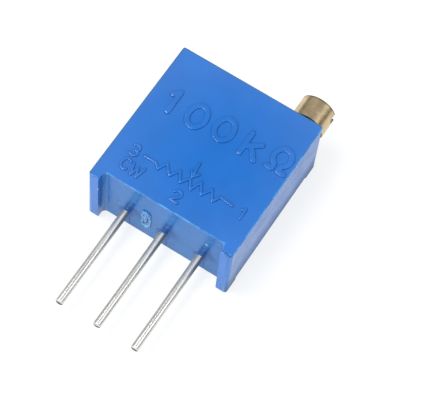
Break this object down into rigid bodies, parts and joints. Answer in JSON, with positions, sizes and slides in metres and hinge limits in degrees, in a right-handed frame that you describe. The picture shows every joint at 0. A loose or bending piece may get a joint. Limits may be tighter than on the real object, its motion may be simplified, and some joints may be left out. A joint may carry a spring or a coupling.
{
  "type": "trimmer potentiometer",
  "caption": "Square multiturn trimmer potentiometer: blue moulded case, slotted brass side screw, worm-driven wiper inside and a row of straight leads.",
  "frame": {"origin": "centre of the flat back face", "axes": "+Z out of the marked face, +Y towards the adjustment screw (the leads run to -Y), +X towards the screw's side and lead 1"},
  "size_m": [0.0096, 0.0178, 0.0048],
  "materials": {
    "case_plastic": "glossy moulded thermoplastic",
    "cover_plastic": "satin moulded thermoplastic",
    "tinned_wire": "bright tinned copper wire",
    "ceramic": "fired alumina",
    "cermet_film": "fired cermet film",
    "silver_film": "fired silver film",
    "solder": "satin solder",
    "screw_brass": "turned brass",
    "seal_rubber": "matt",
    "spring_steel": "stamped sheet",
    "wheel_plastic": "satin moulded thermoplastic",
    "spring_alloy": "stamped copper alloy",
    "contact_alloy": "stamped noble alloy"
  },
  "bodies": {
    "housing": {"housing": "case_plastic", "back_cover": "cover_plastic", "lead_1": "tinned_wire", "lead_2": "tinned_wire", "lead_3": "tinned_wire", "ceramic_substrate": "ceramic", "resistive_track": "cermet_film", "end_conductor_1": "silver_film", "end_conductor_3": "silver_film", "collector_conductor": "silver_film", "solder_joint_1": "solder", "solder_joint_2": "solder", "solder_joint_3": "solder", "screw_retainer": "spring_steel"},
    "screw": {"adjustment_screw": "screw_brass", "screw_seal_ring": "seal_rubber"},
    "rotor": {"worm_wheel": "wheel_plastic", "wiper_spring": "spring_alloy", "wiper_brush": "contact_alloy"}
  },
  "joints": [
    {"name": "screw_turn", "type": "hinge", "parent": "housing", "child": "screw", "pos_m": [0.00365, 0, 0.00356], "axis": [0, 1, 0], "range_deg": [-4500, 4500]},
    {"name": "wiper_turn", "type": "hinge", "parent": "housing", "child": "rotor", "pos_m": [-0.00025, 0.00046, 0], "axis": [0, 0, 1], "range_deg": [-140.62, 140.62]}
  ],
  "couplings": [
    {"joint": "wiper_turn", "follows": "screw_turn", "ratio": -0.03125}
  ]
}
